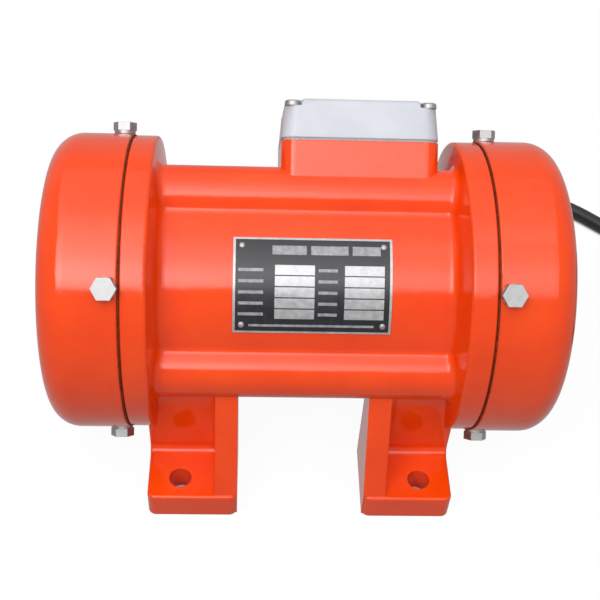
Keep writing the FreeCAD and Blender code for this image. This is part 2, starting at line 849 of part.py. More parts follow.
def lid_screws():
    """Four pan head screws, one in each corner notch of the lid."""
    floor = box_top + gasket_thickness + lid_height - lid_notch_depth
    pieces = []
    for x, y in lid_screw_places():
        screw = pan_screw(2.6, floor - box_top + 8.0)
        screw.translate(FreeCAD.Vector(x, y, floor))
        pieces.append(stood(screw, box_angle))
    return Part.makeCompound(pieces)


def terminal_block():
    """The moulded block that carries the studs, with ribs between them."""
    x0 = box_centre_x - 25.0
    base = Part.makeBox(50.0, 22.0, 8.0, FreeCAD.Vector(x0, -30.0, box_floor))
    ribs = [Part.makeBox(1.6, 22.0, 6.0, FreeCAD.Vector(x0 + 16.0 + 16.4 * index, -30.0, box_floor + 8.0))
            for index in range(2)]
    holes = [Part.makeCylinder(m4_radius, 6.0, FreeCAD.Vector(x, y, box_floor + 2.0)) for x, y in stud_places()]
    return stood(joined([base] + ribs).cut(holes), box_angle)


def stud_places():
    """X and Y of the six studs, in two rows of three."""
    return [(box_centre_x + 16.8 * column, y) for column in (-1, 0, 1) for y in (-25.0, -13.0)]


def terminal_studs():
    """Six studs with their nuts."""
    pieces = []
    for x, y in stud_places():
        stud = Part.makeCylinder(m4_radius - thread_fit, 16.0, FreeCAD.Vector(x, y, box_floor + 2.0))
        nut = hexagon(7.0, 3.0)
        nut.translate(FreeCAD.Vector(x, y, box_floor + 9.0))
        pieces.append(stood(joined([stud, nut]), box_angle))
    return Part.makeCompound(pieces)


def terminal_links():
    """Three flat brass links, each joining the two studs of its column."""
    pieces = []
    for column in (-1, 0, 1):
        x = box_centre_x + 16.8 * column
        link = slab(rectangle(x - 4.0, x + 4.0, -29.0, -9.0, 3.5), 1.0, box_floor + 8.0)
        holes = [Part.makeCylinder(m4_radius, 3.0, FreeCAD.Vector(x, y, box_floor + 7.0)) for y in (-25.0, -13.0)]
        pieces.append(stood(link.cut(holes), box_angle))
    return Part.makeCompound(pieces)


def earth_screw():
    """The earth screw on the box's floor."""
    x, y = earth_place()
    screw = pan_screw(2.6, 3.6)
    screw.translate(FreeCAD.Vector(x, y, box_floor))
    return stood(screw, box_angle)


def motor_leads():
    """Three leads that come up from the winding through the wire hole."""
    pieces = []
    for index in range(3):
        turn = math.radians(120 * index + 90)
        x = wire_hole_x + 3.0 * math.cos(turn)
        y = 3.0 * math.sin(turn)
        start = FreeCAD.Vector(x, y, winding_outside - 1.0)
        lead = Part.makeCylinder(core_radius, box_floor + 8.0 - start.z, start)
        pieces.append(stood(lead.cut(drum(winding_outside, x - core_radius * 2, x + core_radius * 2)), box_angle))
    return Part.makeCompound(pieces)


def supply_cores():
    """The supply's three phase cores and its earth core, from the cable's end inside the box."""
    x_end, y_end = earth_place()
    ends = [FreeCAD.Vector(x, y + 3.0, box_floor + 13.2) for x, y in stud_places() if y > -20.0]
    ends.append(FreeCAD.Vector(x_end + 2.0, y_end + 2.0, box_floor + 4.2))
    pieces = []
    for index, end in enumerate(ends):
        turn = math.radians(180 - 90 * index)
        root = FreeCAD.Vector(gland_x + core_spread * math.cos(turn), gland_face - cable_inside + 1.0,
                              gland_centre + core_spread * math.sin(turn))
        along = end - root
        core = stood(Part.makeCylinder(core_radius * 0.9, along.Length, root, along), box_angle)
        pieces.append(core.cut(cable_entry()))
    return Part.makeCompound(pieces)


# ---------------------------------------------------------------- nameplate

def nameplate():
    """A thin plate bent round the barrel between the two front ribs."""
    half = math.degrees(plate_arc / barrel_radius) / 2
    start = plate_centre_x - plate_length / 2
    ring = pipe(barrel_radius + plate_thickness, barrel_radius, start, start + plate_length)
    reach = barrel_radius * 2
    first = around(start, reach, plate_angle - half)
    middle = around(start, reach, plate_angle)
    last = around(start, reach, plate_angle + half)
    wedge = Part.Face(Part.makePolygon([FreeCAD.Vector(start, 0, 0), first, middle, last,
                                        FreeCAD.Vector(start, 0, 0)])).extrude(ALONG_X * plate_length)
    plate = ring.common(wedge)
    return plate


def nameplate_rivets():
    """Four small round-headed rivets in the plate's corners."""
    half = math.degrees((plate_arc / 2 - plate_inset) / barrel_radius)
    pieces = []
    for x in (-1, 1):
        for angle in (-half, half):
            head = Part.makeSphere(rivet_radius, ORIGIN, ALONG_Z, 0, 90)
            stretch = FreeCAD.Matrix()
            stretch.scale(1, 1, rivet_height / rivet_radius)
            head = head.transformGeometry(stretch)
            head.translate(FreeCAD.Vector(plate_centre_x + x * (plate_length / 2 - plate_inset), 0,
                                          barrel_radius + plate_thickness))
            pieces.append(stood(head, plate_angle + angle))
    return Part.makeCompound(pieces)


# ---------------------------------------------------------------- gland and cable

def gland_body():
    """The gland's threaded neck in the box's boss, and its hexagonal collar."""
    neck_length = gland_boss_length + box_wall
    neck = Part.makeCylinder(gland_thread_radius, neck_length, FreeCAD.Vector(0, 0, -neck_length))
    collar = hexagon(gland_across_flats, gland_collar)
    stem = Part.makeCylinder(gland_nose_radius, gland_nut_hex, FreeCAD.Vector(0, 0, gland_collar))
    bore = Part.makeCylinder(cable_radius + cable_gap, 60.0, FreeCAD.Vector(0, 0, -neck_length - 1))
    return on_gland(joined([neck, collar, stem]).cut(bore), 0.0)


def gland_nut():
    """The dome nut that squeezes the seal onto the cable."""
    hexed = hexagon(gland_across_flats, gland_nut_hex)
    dome = Part.makeCone(gland_across_flats / 2 - 0.6, gland_nose_radius, gland_nut_length)
    inner = Part.makeCylinder(gland_nose_radius + fit_gap, gland_nut_hex)
    bore = Part.makeCylinder(cable_radius + cable_gap, gland_nut_length + 2, FreeCAD.Vector(0, 0, -1))
    dome = dome.makeFillet(2.0, [e for e in dome.Edges if e.BoundBox.ZMin > gland_nut_length - 0.1])
    return on_gland(joined([hexed, dome]).cut([inner, bore]), gland_collar)


def on_gland(shape, along):
    """A shape built along +Z, set on the gland's axis at this distance from the boss's face."""
    placed = shape.copy()
    placed.rotate(ORIGIN, ALONG_X, -90)
    placed.translate(FreeCAD.Vector(gland_x, gland_face + along, gland_centre))
    return stood(placed, box_angle)


def gland_seal():
    """The tapered rubber ring round the cable where it leaves the nut."""
    ring = Part.makeCone(cable_radius + 1.9, cable_radius + 0.8, 3.0)
    ring = ring.cut(Part.makeCylinder(cable_radius, 3.0))
    return on_gland(ring, gland_collar + gland_nut_length)


def gland_exit(along):
    """A point on the gland's axis this far outside the end of its nut, in the base's frame."""
    point = FreeCAD.Vector(gland_x, gland_end + along, gland_centre)
    mark = stood(Part.Vertex(point), box_angle).Vertexes[0].Point
    return mark + ALONG_Z * axis_height


def cable_entry():
    """The straight end of the cable inside the gland, up to the terminal box's room."""
    length = cable_inside + gland_collar + gland_nut_length - cable_grip
    return on_gland(Part.makeCylinder(cable_radius, length), -cable_inside)


def cable_tube(name, points):
    """A round tube along straight runs joined by tangent arcs, as large as the runs allow."""
    points = [FreeCAD.Vector(*p) for p in points]
    edges = []
    radii = []
    here = points[0]
    for before, corner, after in zip(points, points[1:], points[2:]):
        back = before - corner
        ahead = after - corner
        run = min(back.Length, ahead.Length)
        back.normalize()
        ahead.normalize()
        half_turn = (math.pi - back.getAngle(ahead)) / 2
        radius = 0.45 * run / math.tan(half_turn)
        radii.append(round(radius, 1))
        start = corner + back * (0.45 * run)
        end = corner + ahead * (0.45 * run)
        inwards = (back + ahead).normalize()
        top = corner + inwards * (radius / math.cos(half_turn) - radius)
        edges.append(Part.LineSegment(here, start).toShape())
        edges.append(Part.Arc(start, top, end).toShape())
        here = end
    edges.append(Part.LineSegment(here, points[-1]).toShape())
    path = Part.Wire(edges)
    section = Part.Wire(Part.makeCircle(cable_radius, points[0], points[1] - points[0]))
    tube = path.makePipeShell([section], True, True)
    expected = math.pi * cable_radius ** 2 * path.Length
    print(name, "arc radii", radii, "length", round(path.Length, 1),
          "volume ratio", round(tube.Volume / expected, 4))
    return tube


def supply_cable():
    """The cable from the gland, down behind the body and over the floor to the coil."""
    points = [gland_exit(-cable_grip), gland_exit(cable_straight)]
    return cable_tube("supply_cable", points + cable_route)


def cable_tail():
    """The free end, from the coil's top layer down to the floor."""
    return cable_tube("cable_tail", tail_route)


def cable_coil():
    """The rest of the cable, wound two turns wide and two high, as one ring."""
    middle = FreeCAD.Vector(coil_centre[0], coil_centre[1], 0)
    outer = coil_pitch_radius + cable_diameter
    inner = coil_pitch_radius - cable_diameter
    height = 2 * cable_diameter + 0.2
    section = outline(rectangle(inner, outer, 0.0, height, cable_radius * 0.8),
                      lambda a, b: middle + FreeCAD.Vector(a, 0, b))
    return Part.Face(section).revolve(middle, ALONG_Z, 360)


def core_offsets():
    """Offsets across the tail of its bare cores, which fan out on the floor."""
    return [(index - (core_count - 1) / 2) for index in range(core_count)]


def cable_cores():
    """The four insulated cores bared at the cable's free end."""
    end = FreeCAD.Vector(*tail_route[-1])
    pieces = []
    for place in core_offsets():
        root = end + FreeCAD.Vector(place * core_spread, 0, core_radius - cable_radius + 1.4)
        tip = end + FreeCAD.Vector(place * core_spread * 2.0, -core_length, core_radius - cable_radius)
        along = tip - root
        pieces.append(Part.makeCylinder(core_radius * 0.9, along.Length, root, along))
    return Part.makeCompound(pieces)


def core_ferrules():
    """A crimped metal end on each core."""
    pieces = []
    for core in cable_cores().Solids:
        face = min(core.Faces, key=lambda f: f.CenterOfMass.y)
        along = face.normalAt(0, 0)
        pieces.append(Part.makeCylinder(ferrule_radius, ferrule_length, face.CenterOfMass, along))
    return Part.makeCompound(pieces)


# ---------------------------------------------------------------- export

def export(name, shape, lift=axis_height):
    """Write one sub-part, set at its height above the base."""
    placed = shape.copy()
    placed.translate(FreeCAD.Vector(0, 0, lift))
    for solid in placed.Solids:
        if not solid.isValid() or solid.Volume <= 0:
            raise ValueError(name + " is not a valid solid")
    placed.exportStep(os.path.join("parts", name + ".step"))
    print(name, len(placed.Solids), round(placed.Volume, 1))


def main():
    os.makedirs("parts", exist_ok=True)
    export("motor_body", motor_body())
    paired = {
        "end_cover": end_cover(),
        "cover_seal": cover_seal(),
        "cover_screws": cover_screws(False),
        "cover_washers": cover_screws(True),
        "bearing_shield": bearing_shield(),
        "shield_screws": shield_screws(),
        "bearing_outer_ring": race(outer_shoulder, bearing_outside),
        "bearing_inner_ring": race(bearing_bore, inner_shoulder),
        "bearing_cage": bearing_cage(),
        "bearing_balls": bearing_balls(),
        "spacer_sleeve": spacer_sleeve(),
        "shaft_key": shaft_key(),
        "retaining_ring": retaining_ring(),
        "fixed_weight": fixed_weight(),
        "adjustable_weight": adjustable_weight(),
        "clamp_screw": clamp_screw(),
    }
    for name, shape in paired.items():
        for side_name, side in SIDES:
            export(name + "_" + side_name, sided(shape, side))
    export("stator_core", stator_core())
    export("stator_winding", stator_winding())
    export("rotor_core", rotor_core())
    export("rotor_end_rings", rotor_end_rings())
    export("rotor_shaft", rotor_shaft())
    export("terminal_box_lid", terminal_box_lid())
    export("lid_gasket", lid_gasket())
    export("lid_screws", lid_screws())
    export("terminal_block", terminal_block())
    export("terminal_studs", terminal_studs())
    export("terminal_links", terminal_links())
    export("earth_screw", earth_screw())
    export("motor_leads", motor_leads())
    export("supply_cores", supply_cores())
    export("nameplate", nameplate())
    export("nameplate_rivets", nameplate_rivets())
    export("gland_body", gland_body())
    export("gland_nut", gland_nut())
    export("gland_seal", gland_seal())
    export("cable_entry", cable_entry())
    export("supply_cable", supply_cable(), 0)
    export("cable_coil", cable_coil(), 0)
    export("cable_tail", cable_tail(), 0)
    export("cable_cores", cable_cores(), 0)
    export("core_ferrules", core_ferrules(), 0)


main()
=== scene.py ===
import bpy
import json
import math
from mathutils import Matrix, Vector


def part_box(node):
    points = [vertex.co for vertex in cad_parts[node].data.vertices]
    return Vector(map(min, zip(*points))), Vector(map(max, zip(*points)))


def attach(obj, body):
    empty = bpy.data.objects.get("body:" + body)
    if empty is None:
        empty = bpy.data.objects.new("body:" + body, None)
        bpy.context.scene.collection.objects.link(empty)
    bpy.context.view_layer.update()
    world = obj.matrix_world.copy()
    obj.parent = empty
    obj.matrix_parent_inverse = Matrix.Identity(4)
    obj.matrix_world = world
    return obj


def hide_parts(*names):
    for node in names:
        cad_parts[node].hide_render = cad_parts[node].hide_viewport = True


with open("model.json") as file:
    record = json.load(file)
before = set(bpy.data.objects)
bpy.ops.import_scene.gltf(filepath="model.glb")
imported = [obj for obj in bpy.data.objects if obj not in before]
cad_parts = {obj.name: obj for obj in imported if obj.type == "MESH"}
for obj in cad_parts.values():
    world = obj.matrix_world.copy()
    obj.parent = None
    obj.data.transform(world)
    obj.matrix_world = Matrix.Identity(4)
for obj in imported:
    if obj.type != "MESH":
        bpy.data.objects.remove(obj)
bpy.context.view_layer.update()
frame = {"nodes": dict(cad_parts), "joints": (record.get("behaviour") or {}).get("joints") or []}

# ---------------------------------------------------------------- camera
# The motor is looked at from the front, a little left of its middle and from well above, at arm's
# length, so that the barrel's plate faces the viewer and the tops of the feet show.

camera = bpy.data.objects.new("camera", bpy.data.cameras.new("camera"))
bpy.context.scene.collection.objects.link(camera)
camera.location = (-0.02585, -0.38388, 0.48306)
camera.rotation_euler = (math.radians(42.733), math.radians(-2.478), math.radians(-1.040))
camera.data.sensor_width = 36.0
camera.data.lens = 66.03
camera.data.clip_start = 0.01
camera.data.clip_end = 20.0
bpy.context.scene.camera = camera

# ---------------------------------------------------------------- supply cable
# One length of round rubber-sheathed cable. It is clamped by the gland behind the terminal box, drops
# to the floor, runs off to the right and is coiled there, with its stripped end ready for wiring.

cable_width = 0.009
hair_gap = 0.0001
cable_rest = cable_width / 2 + hair_gap
coil_middle = (0.248, 0.052)
coil_outside = 0.0515
turn_pitch = cable_width + hair_gap
points_each_turn = 24


def coil_point(turned, radius, height):
    """A control point of the coil, turned so many degrees clockwise from the coil's far side."""
    angle = math.radians(turned)
    reach = radius / math.cos(math.pi / points_each_turn)
    return (coil_middle[0] + reach * math.sin(angle),
            coil_middle[1] + reach * math.cos(angle),
            height)


cable_route = [
    (0.0245, 0.08203, 0.07575),
    (0.0245, 0.11031, 0.04747),
    (0.036, 0.131, 0.0245),
    (0.060, 0.149, 0.009),
    (0.096, 0.158, cable_rest),
    (0.139, 0.159, cable_rest),
    (0.176, 0.1475, cable_rest),
    (0.206, 0.119, cable_rest),
    (0.232, 0.1042, cable_rest),
]
inward_turns = 1.5
climb_turns = 0.25
outward_turns = 1.5
whole_coil = inward_turns + climb_turns + outward_turns
for step in range(int(whole_coil * points_each_turn) + 1):
    turns = step / points_each_turn
    wound_in = min(turns, inward_turns)
    wound_out = max(turns - inward_turns - climb_turns, 0.0)
    climbed = min(max((turns - inward_turns) / climb_turns, 0.0), 1.0)
    radius = coil_outside - (wound_in - wound_out) * turn_pitch
    height = cable_rest + turn_pitch * climbed * climbed * (3 - 2 * climbed)
    cable_route.append(coil_point(turns * 360.0, radius, height))
cable_route += [
    (0.3003, 0.032, 0.0134),
    (0.3040, 0.004, 0.0066),
    (0.3060, -0.012, cable_rest),
    (0.3065, -0.028, cable_rest),
]

cable_line = bpy.data.curves.new("supply_cord", "CURVE")
cable_line.dimensions = "3D"
cable_line.bevel_depth = 1.0
cable_line.bevel_resolution = 6
cable_line.resolution_u = 6
cable_line.use_fill_caps = True
run = cable_line.splines.new("NURBS")
run.points.add(len(cable_route) - 1)
for point, place in zip(run.points, cable_route):
    point.co = (*place, 1.0)
    point.radius = cable_width / 2
run.order_u = 3
run.use_endpoint_u = True
supply_cord = bpy.data.objects.new("supply_cord", cable_line)
bpy.context.scene.collection.objects.link(supply_cord)
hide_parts("supply_cable", "cable_coil", "cable_tail")
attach(supply_cord, "housing")


def new_finish(name):
    """A material with its shader, and the node tree to build on."""
    material = bpy.data.materials.new(name)
    material.use_nodes = True
    tree = material.node_tree
    return material, tree, tree.nodes["Principled BSDF"]


def place_on(tree):
    """Where a point lies on the piece, in metres."""
    return tree.nodes.new("ShaderNodeTexCoord").outputs["Object"]


def mottle(tree, where, per_metre, detail=3.0, roughness=0.55):
    """Soft uneven patches, so many to the metre, from 0 to 1."""
    noise = tree.nodes.new("ShaderNodeTexNoise")
    noise.inputs["Scale"].default_value = per_metre
    noise.inputs["Detail"].default_value = detail
    noise.inputs["Roughness"].default_value = roughness
    tree.links.new(where, noise.inputs["Vector"])
    return noise.outputs["Fac"]


def spread(tree, value, low, high, start=0.3, end=0.7):
    """Stretches a value from start..end to low..high."""
    node = tree.nodes.new("ShaderNodeMapRange")
    node.inputs["From Min"].default_value = start
    node.inputs["From Max"].default_value = end
    node.inputs["To Min"].default_value = low
    node.inputs["To Max"].default_value = high
    tree.links.new(value, node.inputs["Value"])
    return node.outputs["Result"]


def shades(tree, value, *stops, steps=False):
    """Colours along a value, each stop as (where, (red, green, blue))."""
    ramp = tree.nodes.new("ShaderNodeValToRGB")
    ramp.color_ramp.interpolation = "CONSTANT" if steps else "LINEAR"
    while len(ramp.color_ramp.elements) < len(stops):
        ramp.color_ramp.elements.new(1.0)
    for element, (where, colour) in zip(ramp.color_ramp.elements, stops):
        element.position = where
        element.color = (*colour, 1.0)
    tree.links.new(value, ramp.inputs["Fac"])
    return ramp.outputs["Color"]


def tinted(tree, patches, dark, light):
    """A colour that runs from dark to light over the range that a mottle mostly fills."""
    return shades(tree, patches, (0.3, dark), (0.7, light))


def raised(tree, height, metres, under=None, strength=1.0):
    """Relief of that depth in metres, on top of the relief under it."""
    bump = tree.nodes.new("ShaderNodeBump")
    bump.inputs["Distance"].default_value = metres
    bump.inputs["Strength"].default_value = strength
    tree.links.new(height, bump.inputs["Height"])
    if under is not None:
        tree.links.new(under, bump.inputs["Normal"])
    return bump.outputs["Normal"]


def softened(tree, radius):
    """Edges that look rounded by that radius."""
    bevel = tree.nodes.new("ShaderNodeBevel")
    bevel.samples = 4
    bevel.inputs["Radius"].default_value = radius
    return bevel.outputs["Normal"]


def paint_on(material, *nodes):
    """Gives the finish to those pieces."""
    for node in nodes:
        piece = frame["nodes"][node]
        piece.data.materials.clear()
        piece.data.materials.append(material)


def both(name):
    """The left and the right piece of that name."""
    return name + "_left", name + "_right"


rubber, tree, shader = new_finish("black_rubber")
where = place_on(tree)
patches = mottle(tree, where, 60.0)
grain = mottle(tree, where, 2500.0, detail=2.0)
tree.links.new(tinted(tree, patches, (0.012, 0.012, 0.013), (0.026, 0.026, 0.028)),
               shader.inputs["Base Color"])
tree.links.new(spread(tree, patches, 0.38, 0.55), shader.inputs["Roughness"])
tree.links.new(raised(tree, grain, 0.00006), shader.inputs["Normal"])
shader.inputs["Sheen Weight"].default_value = 0.15
shader.inputs["Sheen Roughness"].default_value = 0.4
cable_line.materials.append(rubber)
paint_on(rubber, "cable_entry", "gland_seal", "supply_cable", "cable_coil", "cable_tail")

# ---------------------------------------------------------------- floor, lamps and room
# A pale studio floor without an edge, an even room light, and two wide panels that fade to the right: a
# bright one in front and above, strongest near its lower edge, which draws the clean line along the
# enamel, and a weaker one overhead, strongest at its front.

floor_reach = 6.0
floor_level = -0.0002
floor = bpy.data.objects.new("floor", bpy.data.meshes.new("floor"))
bpy.context.scene.collection.objects.link(floor)
floor.data.from_pydata([(-floor_reach, -floor_reach, floor_level), (floor_reach, -floor_reach, floor_level),
                        (floor_reach, floor_reach, floor_level), (-floor_reach, floor_reach, floor_level)],
                       [], [(0, 1, 2, 3)])
pale_floor, tree, shader = new_finish("pale_floor")
shader.inputs["Roughness"].default_value = 0.9
shader.inputs["Specular IOR Level"].default_value = 0.0
tree.links.new(tinted(tree, mottle(tree, place_on(tree), 3.0), (0.24, 0.24, 0.24), (0.27, 0.27, 0.27)),
               shader.inputs["Base Color"])


def worked(tree, operation, first, second=None, third=None):
    """One sum on two or three values, each a number or another sum's result."""
    node = tree.nodes.new("ShaderNodeMath")
    node.operation = operation
    for socket, value in zip(node.inputs, (first, second, third)):
        if isinstance(value, (int, float)):
            socket.default_value = value
        elif value is not None:
            tree.links.new(value, socket)
    return node.outputs["Value"]


def seen_directly(tree, directly, mirrored, otherwise):
    """One number for what the viewer sees, one for mirror images and glass, one for lit surfaces."""
    ray = tree.nodes.new("ShaderNodeLightPath")
    bounced = worked(tree, "MAXIMUM", ray.outputs["Is Glossy Ray"], ray.outputs["Is Transmission Ray"])
    seen = worked(tree, "MULTIPLY_ADD", ray.outputs["Is Camera Ray"], directly - otherwise, otherwise)
    return worked(tree, "MULTIPLY_ADD", bounced, mirrored - otherwise, seen)


# The viewer sees the floor mostly by its glow, with a share of real light that keeps the motor's shadow.
# Mirror images see half of white. The glow fades where the motor closes it in, a painted shade
# that keeps the holes and the floor close under the motor dark.
white_glow = 1.19
glow_share = 0.80
mirrored_white = 0.5
painted_shade_reach = 0.012
closed, opened = 0.12, 0.45
glow = tree.nodes.new("ShaderNodeEmission")
# Painted shade: ambient occlusion darkens the floor's glow in the holes and close under the motor.
painted_shade_occlusion = tree.nodes.new("ShaderNodeAmbientOcclusion")
painted_shade_occlusion.inputs["Distance"].default_value = painted_shade_reach
painted_shade_fade = spread(tree, painted_shade_occlusion.outputs["AO"], 0.0, 1.0, closed, opened)
glow_strength = seen_directly(tree, white_glow, mirrored_white, 0.0)
tree.links.new(worked(tree, "MULTIPLY", glow_strength, painted_shade_fade), glow.inputs["Strength"])
mixed = tree.nodes.new("ShaderNodeMixShader")
tree.links.new(seen_directly(tree, glow_share, 1.0, 0.0), mixed.inputs["Fac"])
tree.links.new(shader.outputs["BSDF"], mixed.inputs[1])
tree.links.new(glow.outputs["Emission"], mixed.inputs[2])
tree.links.new(mixed.outputs["Shader"], tree.nodes["Material Output"].inputs["Surface"])
floor.data.materials.append(pale_floor)

room = bpy.data.worlds.new("room")
bpy.context.scene.world = room
room.use_nodes = True
tree = room.node_tree
backdrop = tree.nodes["Background"]
backdrop.inputs["Color"].default_value = (1.0, 1.0, 1.0, 1.0)
room_light = 0.31
tree.links.new(seen_directly(tree, 1.0, mirrored_white, room_light), backdrop.inputs["Strength"])

shaft_height = frame["joints"][0]["pos_m"][2]
lamp_distance = 1.2
lamp_width = 1.7


def panel(name, low_edge, high_edge, radiance):
    """A soft lamp that fills the arc between two heights in degrees above the front horizon."""
    middle = math.radians((low_edge + high_edge) / 2)
    half = math.radians((high_edge - low_edge) / 2)
    lamp = bpy.data.lights.new(name, "AREA")
    lamp.shape = "RECTANGLE"
    lamp.size = lamp_width
    lamp.size_y = 2 * lamp_distance * math.tan(half)
    lamp.energy = radiance * math.pi * lamp.size * lamp.size_y
    lamp.use_nodes = True
    held = bpy.data.objects.new(name, lamp)
    bpy.context.scene.collection.objects.link(held)
    held.location = (0.0, -lamp_distance * math.cos(middle),
                     shaft_height + lamp_distance * math.sin(middle))
    held.rotation_euler = (math.pi / 2 - middle, 0, 0)
    return lamp.node_tree


def across_lamp(tree, direction):
    """Where a point lies across the lamp's face, from 0 to 1."""
    split = tree.nodes.new("ShaderNodeSeparateXYZ")
    tree.links.new(tree.nodes.new("ShaderNodeNewGeometry").outputs["Parametric"], split.inputs["Vector"])
    return split.outputs[direction]


# Each panel's brightness is given from its lower edge upward and from its left side across.
for name, low_edge, high_edge, radiance, upward, rightward in (
        ("front_panel", 38.5, 80.0, 6.4,
         ((0.0, 0.30), (0.1, 0.80), (0.2, 1.0), (0.38, 1.0), (0.64, 0.65), (1.0, 0.415)),
         ((0.22, 1.0), (0.42, 0.66), (0.62, 0.42), (0.82, 0.30))),
        ("top_panel", 80.0, 140.0, 2.7,
         ((0.0, 1.0), (0.33, 0.43), (1.0, 0.08)),
         ((0.22, 1.0), (0.42, 0.72), (0.62, 0.55), (0.82, 0.55)))):
    tree = panel(name, low_edge, high_edge, radiance)
    rising, sideways = (
        shades(tree, across_lamp(tree, direction),
               *((where, (share, share, share)) for where, share in stops))
        for direction, stops in (("Y", upward), ("X", rightward)))
    tree.links.new(worked(tree, "MULTIPLY", rising, sideways), tree.nodes["Emission"].inputs["Strength"])
bpy.context.scene.view_settings.view_transform = "Standard"

# ---------------------------------------------------------------- cast body and end covers
# The motor body and both covers are castings, sprayed with thick glossy orange stove enamel that
# rounds off every edge and keeps a little of the sand casting's waviness.

enamel, tree, shader = new_finish("orange_enamel")
where = place_on(tree)
clouds = mottle(tree, where, 35.0, detail=4.0)
waves = mottle(tree, where, 90.0, detail=2.0)
peel = mottle(tree, where, 900.0, detail=1.0)
tree.links.new(tinted(tree, clouds, (0.84, 0.052, 0.001), (0.92, 0.068, 0.002)),
               shader.inputs["Base Color"])
tree.links.new(spread(tree, clouds, 0.34, 0.46), shader.inputs["Roughness"])
relief = raised(tree, peel, 0.00002, raised(tree, waves, 0.00025, softened(tree, 0.0008), 0.5))
tree.links.new(relief, shader.inputs["Normal"])
tree.links.new(relief, shader.inputs["Coat Normal"])
shader.inputs["Specular IOR Level"].default_value = 0.0
shader.inputs["Coat Weight"].default_value = 1.0
shader.inputs["Coat Roughness"].default_value = 0.11
paint_on(enamel, "motor_body", *both("end_cover"))

# ---------------------------------------------------------------- cover seals
# A thin flat ring of black rubber lies between each cover and the body. It was in place when the
# covers were sprayed, so its edge carries a dusting of the enamel.

sprayed_rubber, tree, shader = new_finish("oversprayed_rubber")
where = place_on(tree)
dusting = mottle(tree, where, 420.0, detail=4.0)
tree.links.new(tinted(tree, dusting, (0.030, 0.008, 0.005), (0.22, 0.030, 0.006)),
               shader.inputs["Base Color"])
tree.links.new(spread(tree, dusting, 0.50, 0.66), shader.inputs["Roughness"])
tree.links.new(raised(tree, dusting, 0.00005), shader.inputs["Normal"])
shader.inputs["Specular IOR Level"].default_value = 0.15
paint_on(sprayed_rubber, *both("cover_seal"))

# ---------------------------------------------------------------- cover screws and small plated parts
# Hexagon screws with spring washers hold each cover to the body. Like the lid, plate and earth
# fasteners they are cold-headed steel with bright zinc plating, a little dulled by handling.

plating, tree, shader = new_finish("zinc_plating")
where = place_on(tree)
blush = mottle(tree, where, 260.0, detail=4.0)
scratches = mottle(tree, where, 3000.0, detail=2.0)
tree.links.new(tinted(tree, blush, (0.36, 0.36, 0.36), (0.50, 0.50, 0.50)),
               shader.inputs["Base Color"])
tree.links.new(spread(tree, blush, 0.44, 0.58), shader.inputs["Roughness"])
tree.links.new(raised(tree, scratches, 0.00002, softened(tree, 0.0003)), shader.inputs["Normal"])
shader.inputs["Metallic"].default_value = 1.0
paint_on(plating, *both("cover_screws"), *both("cover_washers"),
         "lid_screws", "earth_screw", "nameplate_rivets")

# ---------------------------------------------------------------- terminal box lid
# A thin grey-white lid moulded in slightly see-through plastic, screwed down at its four corners on a
# gasket cut from pale grey sponge rubber.

lid_plastic, tree, shader = new_finish("lid_plastic")
where = place_on(tree)
flow = mottle(tree, where, 45.0, detail=3.0)
texture = mottle(tree, where, 1500.0, detail=2.0)
tree.links.new(tinted(tree, flow, (0.58, 0.60, 0.66), (0.66, 0.68, 0.74)),
               shader.inputs["Base Color"])
tree.links.new(spread(tree, flow, 0.30, 0.42), shader.inputs["Roughness"])
tree.links.new(raised(tree, texture, 0.00003, softened(tree, 0.0008)), shader.inputs["Normal"])
shader.inputs["Subsurface Weight"].default_value = 0.35
shader.inputs["Subsurface Radius"].default_value = (0.004, 0.0045, 0.005)
shader.inputs["Subsurface Scale"].default_value = 1.0
shader.inputs["Transmission Weight"].default_value = 0.08
paint_on(lid_plastic, "terminal_box_lid")

sponge, tree, shader = new_finish("grey_sponge_rubber")
where = place_on(tree)
pores = mottle(tree, where, 900.0, detail=4.0)
tree.links.new(tinted(tree, pores, (0.30, 0.31, 0.32), (0.44, 0.45, 0.46)),
               shader.inputs["Base Color"])
tree.links.new(spread(tree, pores, 0.60, 0.78), shader.inputs["Roughness"])
tree.links.new(raised(tree, pores, 0.0001), shader.inputs["Normal"])
paint_on(sponge, "lid_gasket")

# ---------------------------------------------------------------- cable gland
# The gland's body and dome nut are moulded in black nylon with a dull, faintly sparkling skin.

nylon, tree, shader = new_finish("black_nylon")
where = place_on(tree)
bloom = mottle(tree, where, 120.0)
skin = mottle(tree, where, 1800.0, detail=3.0)
tree.links.new(tinted(tree, bloom, (0.020, 0.020, 0.021), (0.036, 0.036, 0.038)),
               shader.inputs["Base Color"])
tree.links.new(spread(tree, skin, 0.42, 0.58), shader.inputs["Roughness"])
tree.links.new(raised(tree, skin, 0.00004, softened(tree, 0.0004)), shader.inputs["Normal"])
paint_on(nylon, "gland_body", "gland_nut")

# ---------------------------------------------------------------- nameplate
# A thin aluminium plate, bent round the barrel and riveted at its corners. It is printed black inside
# a bare metal margin, with bare cells for the ratings and faded bars for titles and labels, all blank.

plate_low, plate_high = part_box("nameplate")
plate_top = math.atan2(plate_high.z - shaft_height, -plate_high.y)
plate_bottom = math.atan2(plate_low.z - shaft_height, -plate_low.y)
plate_metal, tree, shader = new_finish("printed_plate")


def within(tree, value, low, high):
    """1 where the value lies between low and high, else 0."""
    return worked(tree, "MULTIPLY", worked(tree, "GREATER_THAN", value, low),
                  worked(tree, "LESS_THAN", value, high))


def any_of(tree, *fields):
    """1 where any of the fields is 1, else 0."""
    joined = fields[0]
    for field in fields[1:]:
        joined = worked(tree, "MAXIMUM", joined, field)
    return joined


def in_spans(tree, value, spans):
    """1 where the value lies in one of the spans, each as (low, high), else 0."""
    return any_of(tree, *(within(tree, value, low, high) for low, high in spans))


